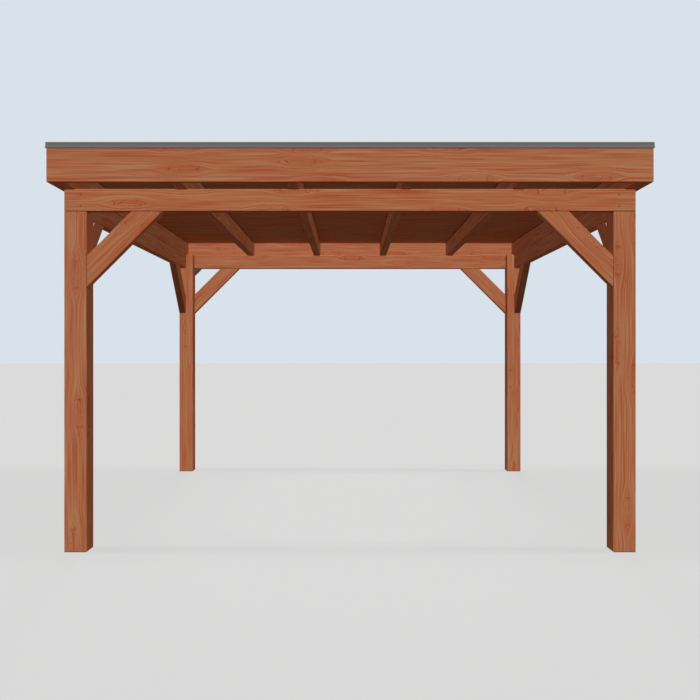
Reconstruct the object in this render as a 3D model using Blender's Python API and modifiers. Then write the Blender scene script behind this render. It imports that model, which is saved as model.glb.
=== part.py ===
"""Free-standing flat-roofed patio cover in planed softwood.

Metres, +Z up, the front faces -Y. The origin is the middle of the whole outline, at ground level.
Four posts carry a ring of beams lapped into their heads, stiffened by knee braces. Rafters lie on
the beams from front to rear, with a boarded deck, a waterproof skin turned up at its edges, and a
fascia capped by a metal edge trim. The roof drains through the rear fascia into a hopper and a
downpipe behind the rear left post.
"""

import bmesh
import bpy
from math import cos, pi, radians, sin, sqrt, tan
from mathutils import Matrix, Vector

# Clearance left between two pieces that touch.
GAP = 0.0003
# Small chamfer planed along every timber edge.
ARRIS = 0.003

# Timber frame, measured over the outer faces of the posts.
FRAME_WIDTH = 3.720
FRAME_DEPTH = 3.720
CLEAR_HEIGHT = 2.220
POST_SIDE = 0.145
BEAM_HEIGHT = 0.145
BEAM_THICKNESS = 0.065

# Knee braces at 45 degrees: the reach runs along the post and the beam to the brace's long edge.
BRACE_REACH = 0.496
BRACE_WIDTH = 0.145
BRACE_THICKNESS = 0.065

# Roof timbers. The overhang runs from the frame's front face to the fascia's front face.
RAFTER_COUNT = 6
RAFTER_HEIGHT = 0.145
RAFTER_THICKNESS = 0.065
FRONT_OVERHANG = 0.215
DECK_THICKNESS = 0.018
FASCIA_THICKNESS = 0.036
UPSTAND_HEIGHT = 0.083
MEMBRANE_THICKNESS = 0.0015

# Metal edge trim, a folded cap over the fascia's top edge.
TRIM_WALL = 0.002
TRIM_FACE_HEIGHT = 0.0353
TRIM_STAND_OFF = 0.0043
TRIM_NOSE_PROJECTION = 0.002
TRIM_NOSE_HEIGHT = 0.008
TRIM_NOSE_SLOPE = 0.003
TRIM_INNER_DROP = 0.020

# Rainwater outlet through the rear fascia, hopper and downpipe.
PIPE_RADIUS = 0.040
PIPE_WALL = 0.002
PIPE_BEND_RADIUS = 0.070
PIPE_FOOT_CLEARANCE = 0.060
SOCKET_LENGTH = 0.045
SOCKET_TAPER = 0.004
PIPE_OFFSET = 0.1475
LOWER_BEND_DROP = 0.0655
COLLAR_LENGTH = 0.050
COLLAR_RISE = 0.003
SPOUT_WIDTH = 0.100
SPOUT_HEIGHT = 0.036
SPOUT_WALL = 0.002
SPOUT_PROJECTION = 0.040
FLANGE_MARGIN = 0.030
FLANGE_BELOW_TRIM = 0.006
HOPPER_WIDTH = 0.180
HOPPER_DEPTH = 0.100
HOPPER_BOX_HEIGHT = 0.100
HOPPER_FUNNEL_HEIGHT = 0.045
HOPPER_RIM_HEIGHT = 0.012
HOPPER_RIM_STEP = 0.004
HOPPER_WALL = 0.002
CLIP_BAND_HEIGHT = 0.025
CLIP_WALL = 0.0025
CLIP_EAR_WIDTH = 0.015
CLIP_EAR_HEIGHT = 0.022
CLIP_ROD_RADIUS = 0.005
CLIP_PLATE_RADIUS = 0.021
CLIP_PLATE_THICKNESS = 0.003
# Distances from the downpipe's socket down to the upper clip, and from its foot up to the lower one.
UPPER_CLIP_DROP = 0.150
LOWER_CLIP_RISE = 0.420

# Facets of the round pieces, and steps along one 45 degree bend.
ROUND_SIDES = 24
BEND_STEPS = 5
# Rounds are shaded smooth where their facets meet at less than this angle.
SMOOTH_ANGLE = radians(35)

# Planes and levels worked out from the sizes above.
half_width = FRAME_WIDTH / 2
beam_top = CLEAR_HEIGHT + BEAM_HEIGHT
rafter_bottom = beam_top + GAP
rafter_top = rafter_bottom + RAFTER_HEIGHT
deck_bottom = rafter_top + GAP
deck_top = deck_bottom + DECK_THICKNESS
membrane_bottom = deck_top + GAP
membrane_top = membrane_bottom + MEMBRANE_THICKNESS
fascia_bottom = rafter_bottom
fascia_top = deck_top + UPSTAND_HEIGHT
trim_top = fascia_top + GAP + TRIM_WALL
trim_bottom = trim_top - TRIM_FACE_HEIGHT
trim_reach = TRIM_STAND_OFF + TRIM_NOSE_PROJECTION

front_reach = FRONT_OVERHANG + trim_reach
rear_reach = GAP + FASCIA_THICKNESS + GAP + HOPPER_DEPTH
frame_front = front_reach - (front_reach + FRAME_DEPTH + rear_reach) / 2
frame_rear = frame_front + FRAME_DEPTH
frame_middle = (frame_front + frame_rear) / 2

side_fascia_inner = half_width + GAP
side_fascia_outer = side_fascia_inner + FASCIA_THICKNESS
front_fascia_outer = frame_front - FRONT_OVERHANG
front_fascia_inner = front_fascia_outer + FASCIA_THICKNESS
rear_fascia_inner = frame_rear + GAP
rear_fascia_outer = rear_fascia_inner + FASCIA_THICKNESS

pipe_x = -(half_width - POST_SIDE / 2)
pipe_y = rear_fascia_outer + GAP + HOPPER_DEPTH / 2
hopper_x = pipe_x + PIPE_OFFSET
spout_bottom = membrane_top + GAP
spout_top = spout_bottom + SPOUT_HEIGHT
flange_top = trim_top - TRIM_INNER_DROP - FLANGE_BELOW_TRIM
hopper_top = spout_bottom - GAP
hopper_neck = hopper_top - HOPPER_BOX_HEIGHT - HOPPER_FUNNEL_HEIGHT
lower_bend = CLEAR_HEIGHT - LOWER_BEND_DROP
upper_bend = lower_bend + PIPE_OFFSET
# Length of each bend's straight tangent, from its corner to where its arc starts.
bend_tangent = PIPE_BEND_RADIUS * tan(pi / 8)
socket_seat = lower_bend - bend_tangent - SOCKET_LENGTH - GAP
# Corner radius of a faceted bore whose flats clear the pipe.
pipe_bore_radius = (PIPE_RADIUS + GAP) / cos(pi / ROUND_SIDES)


def new_collection(name):
    collection = bpy.data.collections.new(name)
    bpy.context.scene.collection.children.link(collection)
    return collection


def new_material(name, colour, roughness, metallic=0.0):
    material = bpy.data.materials.new(name)
    material.use_nodes = True
    shader = material.node_tree.nodes["Principled BSDF"]
    shader.inputs["Base Color"].default_value = (*colour, 1.0)
    shader.inputs["Roughness"].default_value = roughness
    shader.inputs["Metallic"].default_value = metallic
    return material


def add_object(name, data, collection, location=(0, 0, 0), material=None):
    piece = bpy.data.objects.new(name, data)
    piece.location = location
    collection.objects.link(piece)
    if material:
        data.materials.append(material)
    return piece


def box_mesh(name, size):
    """A box centred on its own origin."""
    shape = bmesh.new()
    bmesh.ops.create_cube(shape, size=1.0)
    bmesh.ops.scale(shape, vec=size, verts=shape.verts)
    mesh = bpy.data.meshes.new(name)
    shape.to_mesh(mesh)
    shape.free()
    return mesh


def add_box(name, low, high, material):
    """A box between two corners, with its origin at its middle."""
    low, high = Vector(low), Vector(high)
    return add_object(name, box_mesh(name, high - low), parts, (low + high) / 2, material)


def add_box_cutter(name, low, high):
    low, high = Vector(low), Vector(high)
    return as_cutter(add_object(name, box_mesh(name, high - low), cutters, (low + high) / 2))


def cylinder_mesh(name, radius, height):
    shape = bmesh.new()
    bmesh.ops.create_cone(shape, cap_ends=True, segments=ROUND_SIDES,
                          radius1=radius, radius2=radius, depth=height)
    mesh = bpy.data.meshes.new(name)
    shape.to_mesh(mesh)
    shape.free()
    return mesh


def add_cylinder_cutter(name, radius, height, centre):
    return as_cutter(add_object(name, cylinder_mesh(name, radius, height), cutters, centre))


def as_cutter(piece):
    piece.hide_render = True
    piece.display_type = "WIRE"
    return piece


def combine(piece, tool, operation):
    """Joins a tool's solid to a piece, or cuts it away."""
    change = piece.modifiers.new(tool.name, "BOOLEAN")
    change.operation = operation
    change.solver = "EXACT"
    change.object = tool


def chamfer(piece, width=ARRIS):
    """Breaks the sharp edges of a piece."""
    bevel = piece.modifiers.new("arris", "BEVEL")
    bevel.width = width
    bevel.segments = 1
    bevel.limit_method = "ANGLE"
    bevel.angle_limit = radians(30)


def evaluated_mesh(piece):
    return bpy.data.meshes.new_from_object(piece.evaluated_get(bpy.context.evaluated_depsgraph_get()))


def shade_rounds(piece):
    """Applies a piece's modifiers, then shades its rounds smooth and keeps its edges sharp."""
    mesh = evaluated_mesh(piece)
    mesh.shade_smooth()
    mesh.set_sharp_from_angle(angle=SMOOTH_ANGLE)
    piece.modifiers.clear()
    piece.data = mesh


def mesh_from_curve(curve, points, cyclic=False, swells=()):
    """The mesh of a curve that runs straight from point to point.

    swells gives the share of the curve's bevel depth at each point, where it isn't the same all along.
    """
    line = curve.splines.new("POLY")
    line.points.add(len(points) - 1)
    for knot, point in zip(line.points, points):
        knot.co = (*point, 1)
    for knot, swell in zip(line.points, swells):
        knot.radius = swell
    line.use_cyclic_u = cyclic
    source = bpy.data.objects.new(curve.name, curve)
    bpy.context.scene.collection.objects.link(source)
    mesh = evaluated_mesh(source)
    bpy.data.objects.remove(source)
    return mesh


def outline_mesh(name, points, thickness):
    """A flat outline in the XY plane made solid, half of its thickness to each side."""
    outline = bpy.data.curves.new(name, "CURVE")
    outline.dimensions = "2D"
    outline.fill_mode = "BOTH"
    outline.extrude = thickness / 2
    mesh = mesh_from_curve(outline, [(x, y, 0) for x, y in points], cyclic=True)
    shape = bmesh.new()
    shape.from_mesh(mesh)
    bmesh.ops.remove_doubles(shape, verts=shape.verts, dist=0.00001)
    bmesh.ops.recalc_face_normals(shape, faces=shape.faces)
    shape.to_mesh(mesh)
    shape.free()
    return mesh


def add_post(name, side, end, material):
    """A square post whose head is cut back on its two outer faces to take the lapped beams.

    side is -1 on the left and 1 on the right, end is -1 at the front and 1 at the rear.
    """
    x = side * (half_width - POST_SIDE / 2)
    y = frame_middle + end * (FRAME_DEPTH / 2 - POST_SIDE / 2)
    post = add_object(name, box_mesh(name, (POST_SIDE, POST_SIDE, beam_top)), parts,
                      (x, y, beam_top / 2), material)
    shoulder = CLEAR_HEIGHT - GAP
    notch_height = BEAM_HEIGHT + POST_SIDE
    notch_reach = BEAM_THICKNESS + GAP
    notches = (("x", (notch_reach + POST_SIDE, 3 * POST_SIDE), side, 0),
               ("y", (3 * POST_SIDE, notch_reach + POST_SIDE), 0, end))
    for label, (width, depth), along_x, along_y in notches:
        mesh = box_mesh(f"{name}_notch_{label}", (width, depth, notch_height))
        reach_x = POST_SIDE / 2 - notch_reach + width / 2
        reach_y = POST_SIDE / 2 - notch_reach + depth / 2
        place = (x + along_x * reach_x, y + along_y * reach_y, shoulder + notch_height / 2)
        combine(post, as_cutter(add_object(mesh.name, mesh, cutters, place)), "DIFFERENCE")
    chamfer(post)
    return post


def add_brace(name, corner, turn, material):
    """A knee brace in the upper left corner of a bay, turned about the vertical to its own bay.

    corner is where the post's inner face, the beam's underside and the brace's middle plane meet.
    """
    short = BRACE_REACH - BRACE_WIDTH * sqrt(2)
    points = ((GAP, -short), (GAP, -BRACE_REACH + GAP), (BRACE_REACH - GAP, -GAP), (short, -GAP))
    brace = add_object(name, outline_mesh(name, points, BRACE_THICKNESS), parts, corner, material)
    brace.rotation_euler = (radians(90), 0, turn)
    chamfer(brace)
    return brace


def add_mitred_length(name, profile, length, centre, turn, material):
    """A straight length with mitred ends.

    The profile's points are (inward, up) from the outer lower edge. The length runs along local X
    and is longest at its outer face. turn points the outer face away from the roof.
    """
    mesh = outline_mesh(name, profile, length)
    shape = bmesh.new()
    shape.from_mesh(mesh)
    bmesh.ops.transform(shape, verts=shape.verts,
                        matrix=Matrix(((0, 0, 1, 0), (1, 0, 0, 0), (0, 1, 0, 0), (0, 0, 0, 1))))
    for vertex in shape.verts:
        end = 1 if vertex.co.x > 0 else -1
        vertex.co.x -= end * (vertex.co.y + GAP * sqrt(2) / 2)
    shape.to_mesh(mesh)
    shape.free()
    piece = add_object(name, mesh, parts, centre, material)
    piece.rotation_euler = (0, 0, turn)
    return piece


def roof_sides():
    """Name, outer plane position, length and turn of the roof's four sides, at the fascia's face."""
    middle_y = (front_fascia_outer + rear_fascia_outer) / 2
    depth = rear_fascia_outer - front_fascia_outer
    width = 2 * side_fascia_outer
    return (("front", (0, front_fascia_outer), width, 0),
            ("rear", (0, rear_fascia_outer), width, pi),
            ("left", (-side_fascia_outer, middle_y), depth, -pi / 2),
            ("right", (side_fascia_outer, middle_y), depth, pi / 2))


def trim_profile():
    """Folded metal: a foot against the fascia, a drip nose, a face, a top and a turned-down edge."""
    foot = trim_reach - GAP
    face = TRIM_NOSE_PROJECTION
    shoulder = TRIM_NOSE_HEIGHT + TRIM_NOSE_SLOPE
    inner = trim_reach + FASCIA_THICKNESS + GAP + MEMBRANE_THICKNESS + GAP + TRIM_WALL
    top = TRIM_FACE_HEIGHT
    wall = TRIM_WALL
    return ((0, 0), (foot, 0), (foot, wall), (wall, wall), (wall, TRIM_NOSE_HEIGHT),
            (face + wall, shoulder), (face + wall, top - wall), (inner - wall, top - wall),
            (inner - wall, top - TRIM_INNER_DROP), (inner, top - TRIM_INNER_DROP), (inner, top),
            (face, top), (face, shoulder), (0, TRIM_NOSE_HEIGHT))


def arc_points(centre_x, centre_z, start, stop):
    """Centre line of one bend in the XZ plane, between two angles from +X towards +Z."""
    angles = [start + (stop - start) * step / BEND_STEPS for step in range(BEND_STEPS + 1)]
    return [(centre_x + PIPE_BEND_RADIUS * cos(angle), 0, centre_z + PIPE_BEND_RADIUS * sin(angle))
            for angle in angles]


def offset_route():
    """Centre line of the pipe's two 45 degree bends, from its socketed foot to the hopper.

    Each place comes with the pipe's radius there, as a share of its plain radius. It swells where the
    two bends meet in a collar, halfway along the sloping stretch.
    """
    low = arc_points(PIPE_BEND_RADIUS, lower_bend - bend_tangent, pi, 3 * pi / 4)
    high = arc_points(PIPE_OFFSET - PIPE_BEND_RADIUS, upper_bend + bend_tangent, -pi / 4, 0)
    foot = (0, 0, socket_seat + GAP)
    head = (PIPE_OFFSET, 0, hopper_neck - GAP)
    middle = (Vector(low[-1]) + Vector(high[0])) / 2
    along = (Vector(high[0]) - Vector(low[-1])).normalized()
    edge = COLLAR_LENGTH / 2
    collar = [(middle + along * reach, 1 + rise / PIPE_RADIUS)
              for reach, rise in ((-edge - COLLAR_RISE, 0), (-edge, COLLAR_RISE),
                                  (edge, COLLAR_RISE), (edge + COLLAR_RISE, 0))]
    return [(point, 1) for point in (foot, *low)] + collar + [(point, 1) for point in (*high, head)]


def add_pipe_offset(name, material):
    """A pipe swept along its two bends, with a collar between them and open ends."""
    route = bpy.data.curves.new(name, "CURVE")
    route.dimensions = "3D"
    route.bevel_depth = PIPE_RADIUS
    # A bevelled curve has four sides and two more for each step of its resolution.
    route.bevel_resolution = (ROUND_SIDES - 4) // 2
    route.use_fill_caps = False
    points, swells = zip(*offset_route())
    pipe = add_object(name, mesh_from_curve(route, points, swells=swells), parts,
                      (pipe_x, pipe_y, 0), material)
    wall = pipe.modifiers.new("wall", "SOLIDIFY")
    wall.thickness = PIPE_WALL
    wall.offset = -1
    shade_rounds(pipe)
    return pipe


def add_downpipe(name, material):
    """A straight pipe turned from its section, with a socket at its head for the bends above."""
    bottom = PIPE_FOOT_CLEARANCE
    head = socket_seat + SOCKET_LENGTH
    bore = PIPE_RADIUS - PIPE_WALL
    socket_bore = pipe_bore_radius
    socket = socket_bore + PIPE_WALL
    profile = ((socket, head), (socket, socket_seat), (PIPE_RADIUS, socket_seat - SOCKET_TAPER),
               (PIPE_RADIUS, bottom), (bore, bottom), (bore, socket_seat - PIPE_WALL / 2),
               (socket_bore, socket_seat), (socket_bore, head))
    mesh = bpy.data.meshes.new(name)
    count = len(profile)
    mesh.from_pydata([(r, 0, z) for r, z in profile],
                     [(i, (i + 1) % count) for i in range(count)], [])
    pipe = add_object(name, mesh, parts, (pipe_x, pipe_y, 0), material)
    turn = pipe.modifiers.new("turn", "SCREW")
    turn.steps = ROUND_SIDES
    turn.render_steps = ROUND_SIDES
    turn.use_merge_vertices = True
    turn.merge_threshold = 0.0001
    shade_rounds(pipe)
    return pipe


def height_of(face):
    return face.calc_center_median().z


def funnel_mesh(name, width, depth, box_height, neck, funnel_height):
    """A box whose underside is drawn down to a square neck. Its origin is at the middle of its top."""
    shape = bmesh.new()
    bmesh.ops.create_cube(shape, size=1.0)
    bmesh.ops.scale(shape, vec=(width, depth, box_height), verts=shape.verts)
    bmesh.ops.translate(shape, vec=(0, 0, -box_height / 2), verts=shape.verts)
    base = [min(shape.faces, key=height_of)]
    drawn = bmesh.ops.extrude_face_region(shape, geom=base)
    rim = [item for item in drawn["geom"] if isinstance(item, bmesh.types.BMVert)]
    bmesh.ops.delete(shape, geom=base, context="FACES_ONLY")
    for vertex in rim:
        vertex.co.x *= neck / width
        vertex.co.y *= neck / depth
        vertex.co.z -= funnel_height
    bmesh.ops.recalc_face_normals(shape, faces=shape.faces)
    mesh = bpy.data.meshes.new(name)
    shape.to_mesh(mesh)
    shape.free()
    return mesh


def add_hopper(name, material):
    """An open-topped rain hopper with a thick rim, a funnel and a round socket for the pipe."""
    place = (hopper_x, pipe_y, hopper_top)
    neck = 2 * (pipe_bore_radius + PIPE_WALL)
    width, depth = HOPPER_WIDTH - 2 * HOPPER_RIM_STEP, HOPPER_DEPTH - 2 * HOPPER_RIM_STEP
    hopper = add_object(name, funnel_mesh(name, width, depth, HOPPER_BOX_HEIGHT, neck,
                                          HOPPER_FUNNEL_HEIGHT), parts, place, material)
    rim = add_box_cutter(name + "_rim",
                         (hopper_x - HOPPER_WIDTH / 2, pipe_y - HOPPER_DEPTH / 2,
                          hopper_top - HOPPER_RIM_HEIGHT),
                         (hopper_x + HOPPER_WIDTH / 2, pipe_y + HOPPER_DEPTH / 2, hopper_top))
    combine(hopper, rim, "UNION")
    overlap = HOPPER_WALL
    socket_height = SOCKET_LENGTH + overlap
    socket = add_object(name + "_socket", cylinder_mesh(name + "_socket", neck / 2, socket_height),
                        cutters, (hopper_x, pipe_y, hopper_neck + overlap - socket_height / 2))
    combine(hopper, as_cutter(socket), "UNION")
    inner = funnel_mesh(name + "_hollow", width - 2 * HOPPER_WALL, depth - 2 * HOPPER_WALL,
                        2 * HOPPER_BOX_HEIGHT, neck - 2 * HOPPER_WALL, HOPPER_FUNNEL_HEIGHT)
    hollow = add_object(name + "_hollow", inner, cutters,
                        (hopper_x, pipe_y, hopper_top + HOPPER_BOX_HEIGHT + HOPPER_WALL))
    combine(hopper, as_cutter(hollow), "DIFFERENCE")
    throat = add_cylinder_cutter(name + "_throat", PIPE_RADIUS - PIPE_WALL, 4 * SOCKET_LENGTH,
                                 (hopper_x, pipe_y, hopper_neck))
    combine(hopper, throat, "DIFFERENCE")
    seat = add_cylinder_cutter(name + "_seat", pipe_bore_radius, 2 * SOCKET_LENGTH,
                               (hopper_x, pipe_y, hopper_neck - SOCKET_LENGTH))
    combine(hopper, seat, "DIFFERENCE")
    shade_rounds(hopper)
    return hopper


def add_spout(name, material):
    """A flat spout through the rear fascia, with a flange against the turned-up membrane."""
    membrane_face = rear_fascia_inner - GAP - MEMBRANE_THICKNESS
    low_x, high_x = hopper_x - SPOUT_WIDTH / 2, hopper_x + SPOUT_WIDTH / 2
    flange = add_box(name, (low_x - FLANGE_MARGIN, membrane_face - GAP - SPOUT_WALL, spout_bottom),
                     (high_x + FLANGE_MARGIN, membrane_face - GAP, flange_top), material)
    spout_end = rear_fascia_outer + SPOUT_PROJECTION
    tube = add_box_cutter(name + "_tube", (low_x, membrane_face - GAP - SPOUT_WALL / 2, spout_bottom),
                          (high_x, spout_end, spout_top))
    combine(flange, tube, "UNION")
    channel = add_box_cutter(name + "_channel",
                             (low_x + SPOUT_WALL, membrane_face - FLANGE_MARGIN, spout_bottom + SPOUT_WALL),
                             (high_x - SPOUT_WALL, spout_end + FLANGE_MARGIN, spout_top - SPOUT_WALL))
    combine(flange, channel, "DIFFERENCE")
    passage = add_box_cutter(name + "_passage",
                             (low_x - GAP, membrane_face - SPOUT_WALL, membrane_top - GAP / 2),
                             (high_x + GAP, rear_fascia_outer + SPOUT_PROJECTION, spout_top + GAP))
    return passage


def add_clip(name, height, material):
    """A band round the downpipe with two ears, on a rod from a round plate on the post's rear face."""
    band_radius = pipe_bore_radius + CLIP_WALL
    clip = add_object(name, cylinder_mesh(name, band_radius, CLIP_BAND_HEIGHT), parts,
                      (pipe_x, pipe_y, height), material)
    ear_reach = band_radius + CLIP_EAR_WIDTH
    ears = add_box_cutter(name + "_ears",
                          (pipe_x - ear_reach, pipe_y - CLIP_WALL, height - CLIP_EAR_HEIGHT / 2),
                          (pipe_x + ear_reach, pipe_y + CLIP_WALL, height + CLIP_EAR_HEIGHT / 2))
    combine(clip, ears, "UNION")
    plate_back = frame_rear + GAP
    rod_end = pipe_y - PIPE_RADIUS
    for label, radius, end in (("rod", CLIP_ROD_RADIUS, rod_end),
                               ("plate", CLIP_PLATE_RADIUS, plate_back + CLIP_PLATE_THICKNESS)):
        bar = add_cylinder_cutter(f"{name}_{label}", radius, end - plate_back,
                                  (pipe_x, (plate_back + end) / 2, height))
        bar.rotation_euler.x = radians(90)
        combine(clip, bar, "UNION")
    bore = add_cylinder_cutter(name + "_bore", pipe_bore_radius, 2 * CLIP_BAND_HEIGHT,
                               (pipe_x, pipe_y, height))
    combine(clip, bore, "DIFFERENCE")
    shade_rounds(clip)
    return clip


for old in list(bpy.data.objects):
    bpy.data.objects.remove(old)

parts = new_collection("patio_cover")
cutters = new_collection("cutters")

post_wood = new_material("post_wood", (0.36, 0.123, 0.054), 0.55)
beam_wood = new_material("beam_wood", (0.35, 0.120, 0.052), 0.55)
brace_wood = new_material("brace_wood", (0.34, 0.115, 0.050), 0.55)
rafter_wood = new_material("rafter_wood", (0.33, 0.110, 0.048), 0.60)
deck_wood = new_material("deck_wood", (0.32, 0.105, 0.045), 0.60)
fascia_wood = new_material("fascia_wood", (0.37, 0.125, 0.055), 0.55)
rubber = new_material("roof_rubber", (0.02, 0.02, 0.022), 0.80)
trim_metal = new_material("edge_trim_metal", (0.15, 0.15, 0.15), 0.40, 0.6)
pipe_plastic = new_material("pipe_plastic", (0.05, 0.052, 0.055), 0.45)

# Posts
for end_name, end in (("front", -1), ("rear", 1)):
    for side_name, side in (("left", -1), ("right", 1)):
        add_post(f"{end_name}_{side_name}_post", side, end, post_wood)

# Beams: the front and rear ones run to the corners, the side ones fit between them.
for end_name, low_y in (("front", frame_front), ("rear", frame_rear - BEAM_THICKNESS)):
    beam = add_box(f"{end_name}_beam", (-half_width, low_y, CLEAR_HEIGHT),
                   (half_width, low_y + BEAM_THICKNESS, beam_top), beam_wood)
    chamfer(beam)
for side_name, low_x in (("left", -half_width), ("right", half_width - BEAM_THICKNESS)):
    beam = add_box(f"{side_name}_beam",
                   (low_x, frame_front + BEAM_THICKNESS + GAP, CLEAR_HEIGHT),
                   (low_x + BEAM_THICKNESS, frame_rear - BEAM_THICKNESS - GAP, beam_top), beam_wood)
    chamfer(beam)

# Knee braces, flush with the outer faces of the frame.
inner_x = half_width - POST_SIDE
brace_x = half_width - BRACE_THICKNESS / 2
for end_name, y in (("front", frame_front + BRACE_THICKNESS / 2), ("rear", frame_rear - BRACE_THICKNESS / 2)):
    add_brace(f"{end_name}_left_brace", (-inner_x, y, CLEAR_HEIGHT), 0, brace_wood)
    add_brace(f"{end_name}_right_brace", (inner_x, y, CLEAR_HEIGHT), pi, brace_wood)
for side_name, x in (("left", -brace_x), ("right", brace_x)):
    add_brace(f"{side_name}_front_brace", (x, frame_front + POST_SIDE, CLEAR_HEIGHT), pi / 2, brace_wood)
    add_brace(f"{side_name}_rear_brace", (x, frame_rear - POST_SIDE, CLEAR_HEIGHT), -pi / 2, brace_wood)

# Rafters, evenly spaced, the outer two flush with the frame's sides.
first_rafter = -half_width + RAFTER_THICKNESS / 2
rafter_spacing = (FRAME_WIDTH - RAFTER_THICKNESS) / (RAFTER_COUNT - 1)
for number in range(RAFTER_COUNT):
    x = first_rafter + number * rafter_spacing
    rafter = add_box(f"rafter_{number + 1}",
                     (x - RAFTER_THICKNESS / 2, front_fascia_inner + GAP, rafter_bottom),
                     (x + RAFTER_THICKNESS / 2, frame_rear, rafter_top), rafter_wood)
    chamfer(rafter)

# Deck on the rafters, within the fascias.
add_box("roof_deck", (-half_width, front_fascia_inner + GAP, deck_bottom),
        (half_width, frame_rear, deck_top), deck_wood)

# Fascias with mitred corners.
fascia_profile = ((0, 0), (FASCIA_THICKNESS, 0), (FASCIA_THICKNESS, fascia_top - fascia_bottom),
                  (0, fascia_top - fascia_bottom))
fascias = {}
for side_name, (x, y), length, turn in roof_sides():
    fascias[side_name] = add_mitred_length(f"{side_name}_fascia", fascia_profile, length,
                                           (x, y, fascia_bottom), turn, fascia_wood)
    chamfer(fascias[side_name])

# Waterproof skin: a sheet over the deck, turned up inside the fascias.
skin_low = Vector((-half_width, front_fascia_inner + GAP, membrane_bottom))
skin_high = Vector((half_width, frame_rear, fascia_top))
membrane = add_box("roof_membrane", skin_low, skin_high, rubber)
tray = bmesh.new()
tray.from_mesh(membrane.data)
bmesh.ops.delete(tray, geom=[max(tray.faces, key=height_of)], context="FACES_ONLY")
tray.to_mesh(membrane.data)
tray.free()
skin = membrane.modifiers.new("skin", "SOLIDIFY")
skin.thickness = MEMBRANE_THICKNESS
skin.offset = -1
skin.use_even_offset = True

# Edge trim with mitred corners.
for side_name, (x, y), length, turn in roof_sides():
    outward = Vector((sin(turn), -cos(turn)))
    add_mitred_length(f"{side_name}_edge_trim", trim_profile(), length + 2 * trim_reach,
                      (x + outward.x * trim_reach, y + outward.y * trim_reach, trim_bottom),
                      turn, trim_metal)

# Rainwater goods behind the rear left post.
passage = add_spout("rain_outlet", pipe_plastic)
combine(membrane, passage, "DIFFERENCE")
combine(fascias["rear"], passage, "DIFFERENCE")
add_hopper("rain_hopper", pipe_plastic)
add_pipe_offset("downpipe_bends", pipe_plastic)
add_downpipe("downpipe", pipe_plastic)
add_clip("upper_pipe_clip", socket_seat - UPPER_CLIP_DROP, pipe_plastic)
add_clip("lower_pipe_clip", PIPE_FOOT_CLEARANCE + LOWER_CLIP_RISE, pipe_plastic)
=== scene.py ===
"""The looks of a free-standing flat-roofed patio cover in red-brown stained softwood.

Metres, +Z up, the front faces -Y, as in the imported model. The timbers and the edge trim keep their
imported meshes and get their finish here. The roof boards, the rubber skin and the rainwater goods
are modelled in full and stand for their plain nodes, and the beams get their screws.
"""

import random
from math import copysign, cos, pi, radians, sin, tan

import bmesh
import bpy
from mathutils import Matrix, Vector, noise


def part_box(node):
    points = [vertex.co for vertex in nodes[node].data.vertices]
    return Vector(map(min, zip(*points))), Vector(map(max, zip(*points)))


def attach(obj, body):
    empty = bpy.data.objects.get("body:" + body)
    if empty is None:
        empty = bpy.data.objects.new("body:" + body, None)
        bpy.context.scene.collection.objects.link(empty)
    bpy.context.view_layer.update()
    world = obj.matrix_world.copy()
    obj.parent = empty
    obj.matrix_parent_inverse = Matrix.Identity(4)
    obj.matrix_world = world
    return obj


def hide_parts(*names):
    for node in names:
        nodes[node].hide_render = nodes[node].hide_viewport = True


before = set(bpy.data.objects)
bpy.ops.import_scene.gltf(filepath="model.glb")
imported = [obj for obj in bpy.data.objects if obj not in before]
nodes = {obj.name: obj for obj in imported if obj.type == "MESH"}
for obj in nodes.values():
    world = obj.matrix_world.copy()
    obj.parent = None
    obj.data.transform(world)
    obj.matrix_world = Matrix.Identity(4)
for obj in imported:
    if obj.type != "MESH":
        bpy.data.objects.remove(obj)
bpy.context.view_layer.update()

RIGHT = Vector((1, 0, 0))
BACK = Vector((0, 1, 0))
UP = Vector((0, 0, 1))

# Clearance between two pieces that touch.
GAP = 0.0003
# Points closer than this become one, and an edge sharper than this angle in degrees stays crisp.
WELD_DISTANCE = 0.00001
SHARP_ANGLE = 32

# Camera: level, square to the front, on the cover's middle line.
CAMERA_DISTANCE = 5.288
EYE_HEIGHT = 1.307
LENS = 41.796
FILM_WIDTH = 36.0
HORIZON_SHIFT = 0.00214
SIGHT_LIMIT = 400.0
# How far the floor runs behind the camera, ahead of it and to each side, and its gap below the posts.
FLOOR_BEHIND = 40.0
FLOOR_REACH = 92.4
FLOOR_HALF_WIDTH = 90.0
FLOOR_GAP = 0.0005

# Light, as the share of its own colour that a surface shows where it faces the lamp. The key lamp is
# above and behind the camera. A drop is how far the light comes down for each metre that it goes
# level, and a spread is the angle in degrees that softens a shadow's edge.
KEY_LEVEL = 1.235
KEY_DROP = 1.0
SIDE_LEVEL = 0.42
SIDE_DROP = 0.70
SIDE_SPREAD = 10
REAR_LEVEL = 0.62
REAR_DROP = 0.25
REAR_SPREAD = 25
# Weak fill from below, from each side and from the rear, which throws no shadow. All but the rear's
# is a little warm.
UP_FILL = 0.05
LEFT_FILL = 0.20
RIGHT_FILL = 0.275
REAR_FILL = 0.24
FILL_DROP = 0.35
AMBIENT_LEVEL = 0.05
FILL_COLOUR = (1.0, 0.95, 0.92)
BACKDROP_COLOUR = "#d9e2eb"
FLOOR_COLOUR = "#dbdbdb"
# The floor's share of its colour that comes from its own glow, its diffuse part towards the camera, and
# the shade that it throws back up.
FLOOR_GLOW = 0.66
FLOOR_DIFFUSE = (0.14, 0.14, 0.14, 1)
FLOOR_BOUNCE = (0.10, 0.08, 0.07, 1)

# The log that a timber is cut from: how far its heart lies from the timber's middle, how far each
# way the places of the cuts are spread, and the seed that picks them.
HEART_NEAR = 0.26
HEART_FAR = 0.36
CUT_RANGE = 8
TIMBER_SEED = 7
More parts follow.
